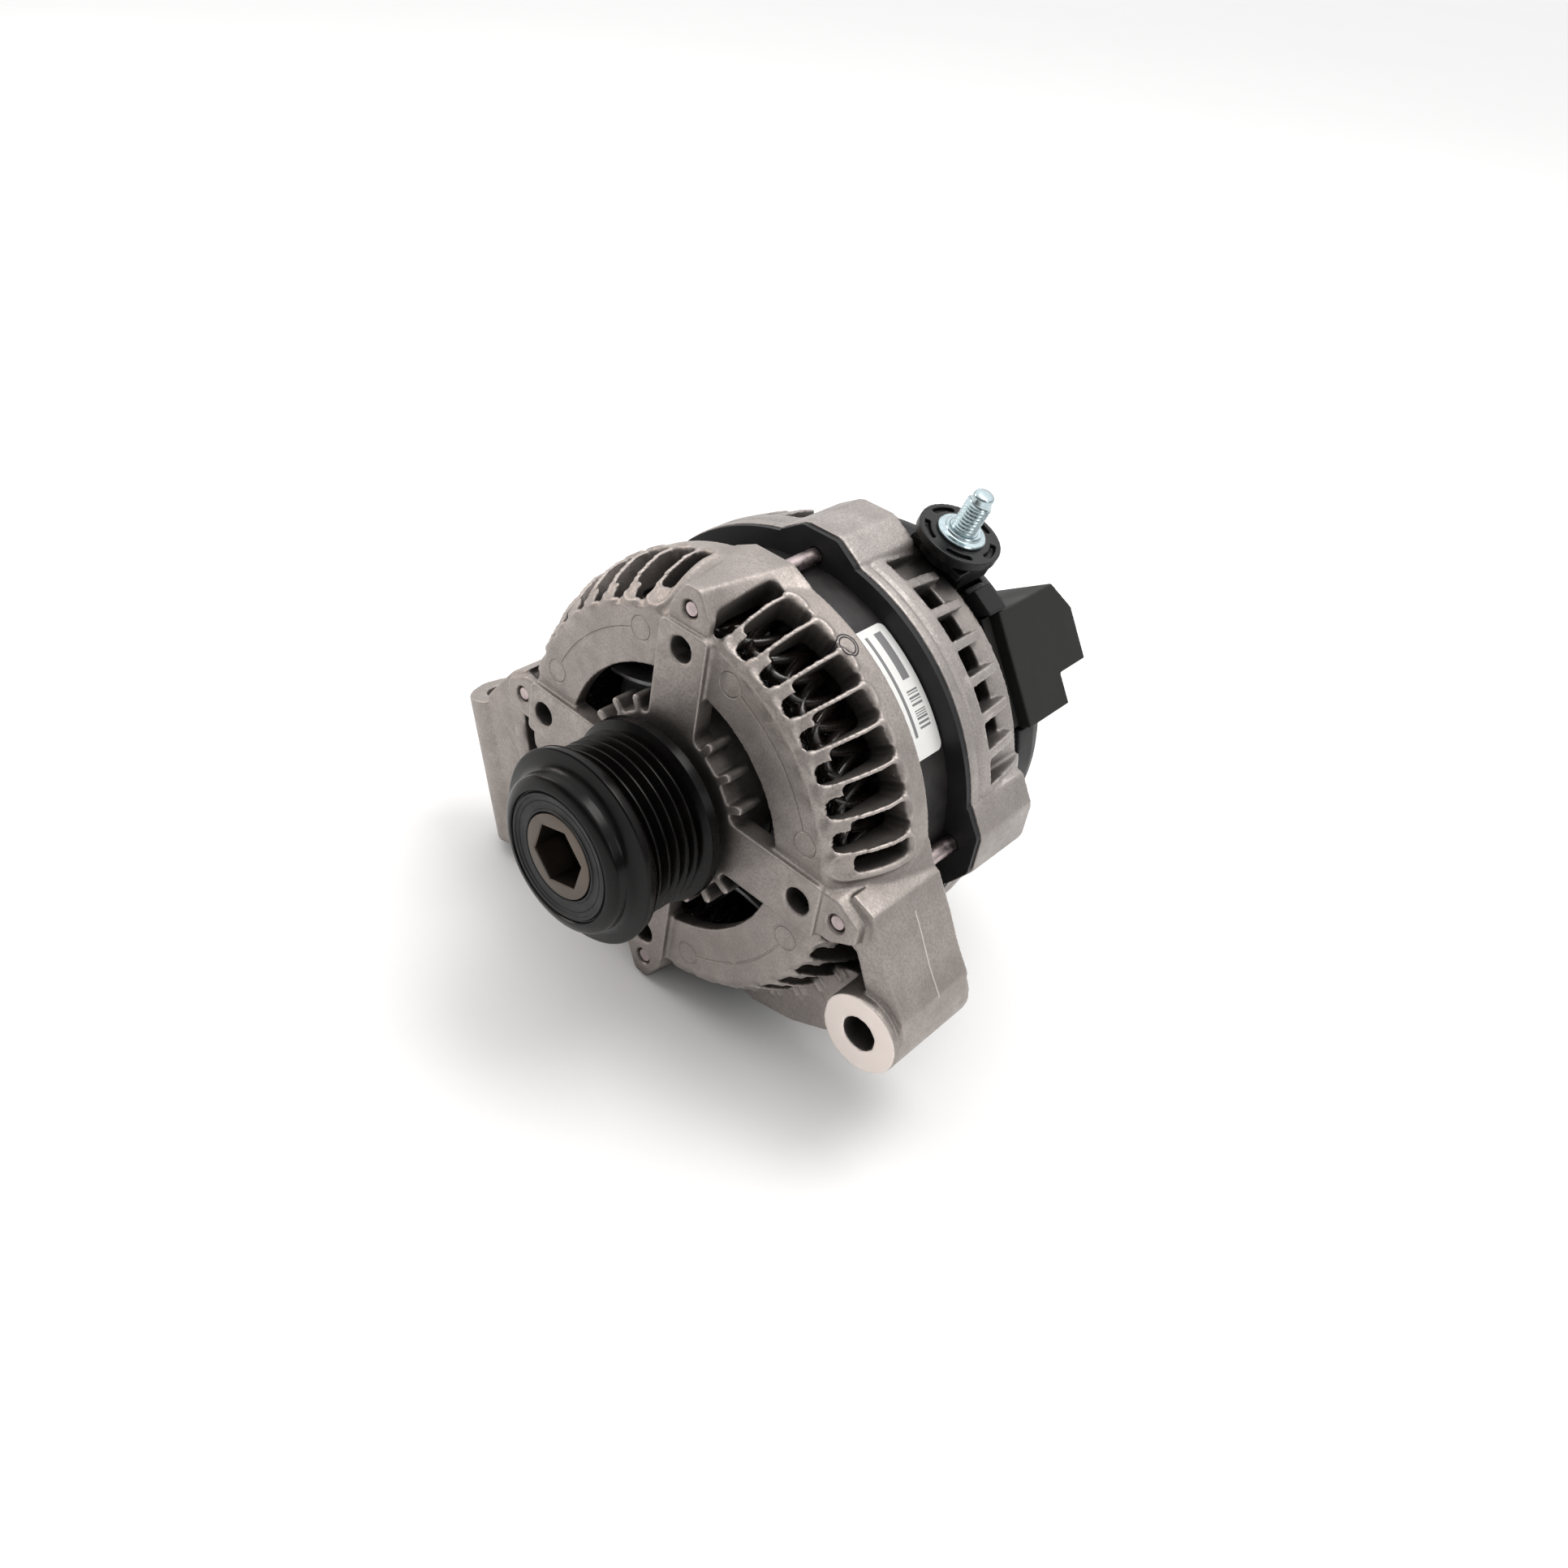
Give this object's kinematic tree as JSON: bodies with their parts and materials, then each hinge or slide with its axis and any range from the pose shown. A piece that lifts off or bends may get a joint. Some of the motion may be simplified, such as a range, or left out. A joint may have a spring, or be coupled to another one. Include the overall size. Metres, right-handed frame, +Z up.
{
  "type": "car alternator",
  "caption": "Belt-driven car alternator with an overrunning ribbed pulley, slotted cast end housings, bare stator band, pivot lug, tilted clamp boss, plug socket and supply stud",
  "frame": {"origin": "on the shaft axis, in the plane of the front housing's ring face", "axes": "-Y along the shaft towards the pulley, +Z up, +X to the right as seen from the pulley end"},
  "size_m": [0.1911, 0.1728, 0.1589],
  "materials": {
    "cast_aluminium": "bead-blasted casting",
    "core_black": "black coated laminations",
    "enamelled_copper": "dark varnish",
    "field_copper": "varnished wire",
    "bare_copper": "bare metal",
    "black_plastic": "moulded, matt",
    "grey_plastic": "moulded, matt",
    "bolt_steel": "plated",
    "label_white": "printed film",
    "bearing_steel": "ground",
    "pole_steel": "forged and turned",
    "pressed_steel": "pressed sheet",
    "slip_ring_copper": "turned",
    "bronze_steel": "oiled, brownish",
    "pulley_black": "gloss black coating",
    "seal_rubber": "matt",
    "sink_aluminium": "mill finish",
    "diode_metal": "plated",
    "brush_carbon": "pressed carbon",
    "spring_steel": "drawn wire",
    "zinc_plated": "zinc plated"
  },
  "bodies": {
    "housing": {"front_housing": "cast_aluminium", "rear_housing": "cast_aluminium", "stator_core": "core_black", "stator_winding": "enamelled_copper", "stator_seal_ring": "black_plastic", "through_bolts": "bolt_steel", "label": "label_white", "front_bearing_outer_race": "bearing_steel", "front_bearing_retainer": "bearing_steel", "retainer_screws": "bolt_steel", "rear_bearing_outer_race": "bearing_steel", "rear_bearing_sleeve": "black_plastic", "negative_heat_sink": "sink_aluminium", "positive_heat_sink": "sink_aluminium", "negative_diodes": "diode_metal", "positive_diodes": "diode_metal", "sink_spacers": "bolt_steel", "terminal_block": "black_plastic", "stator_leads": "bare_copper", "bus_bar": "bare_copper", "cover_studs": "bolt_steel", "cover_nuts": "bolt_steel", "brush_spring_front": "spring_steel", "brush_spring_rear": "spring_steel", "brush_holder": "black_plastic", "brush_cap": "black_plastic", "voltage_regulator": "black_plastic", "connector_housing": "black_plastic", "connector_terminals": "bare_copper", "b_plus_stud": "zinc_plated", "b_plus_collar": "zinc_plated", "b_plus_insulator": "grey_plastic", "rear_cover": "black_plastic"},
    "rotor": {"shaft": "bearing_steel", "front_pole": "pole_steel", "rear_pole": "pole_steel", "coil_bobbin": "black_plastic", "field_coil": "field_copper", "front_fan": "pressed_steel", "rear_fan": "pressed_steel", "slip_ring_front": "slip_ring_copper", "slip_ring_rear": "slip_ring_copper", "slip_ring_sleeve": "black_plastic", "spacer_collar": "bearing_steel", "pulley_hub": "bronze_steel", "clutch_rollers": "bearing_steel", "front_bearing_inner_race": "bearing_steel", "rear_bearing_inner_race": "bearing_steel"},
    "pulley": {"pulley_ring": "pulley_black", "pulley_seal": "seal_rubber"},
    "front_ball_set": {"front_bearing_cage": "grey_plastic", "front_bearing_balls": "bearing_steel"},
    "rear_ball_set": {"rear_bearing_cage": "grey_plastic", "rear_bearing_balls": "bearing_steel"},
    "front_brush": {"brush_front": "brush_carbon"},
    "rear_brush": {"brush_rear": "brush_carbon"}
  },
  "joints": [
    {"name": "rotor_spin", "type": "hinge", "parent": "housing", "child": "rotor", "pos_m": [0, 0, 0], "axis": [0, 1, 0], "continuous": true},
    {"name": "pulley_overrun", "type": "hinge", "parent": "rotor", "child": "pulley", "pos_m": [0, -0.025, 0], "axis": [0, 1, 0], "continuous": true},
    {"name": "front_balls_spin", "type": "hinge", "parent": "housing", "child": "front_ball_set", "pos_m": [0, 0.0085, 0], "axis": [0, 1, 0], "continuous": true},
    {"name": "rear_balls_spin", "type": "hinge", "parent": "housing", "child": "rear_ball_set", "pos_m": [0, 0.0795, 0], "axis": [0, 1, 0], "continuous": true},
    {"name": "front_brush_slide", "type": "slide", "parent": "housing", "child": "front_brush", "axis": [0.8387, 0, 0.5446], "range_m": [0, 0.004], "stiffness_N_per_m": 150, "springref_m": -0.012, "deforming": ["brush_spring_front"]},
    {"name": "rear_brush_slide", "type": "slide", "parent": "housing", "child": "rear_brush", "axis": [0.8387, 0, 0.5446], "range_m": [0, 0.004], "stiffness_N_per_m": 150, "springref_m": -0.012, "deforming": ["brush_spring_rear"]}
  ],
  "couplings": [
    {"joint": "front_balls_spin", "follows": "rotor_spin", "ratio": 0.36562},
    {"joint": "rear_balls_spin", "follows": "rotor_spin", "ratio": 0.384}
  ]
}
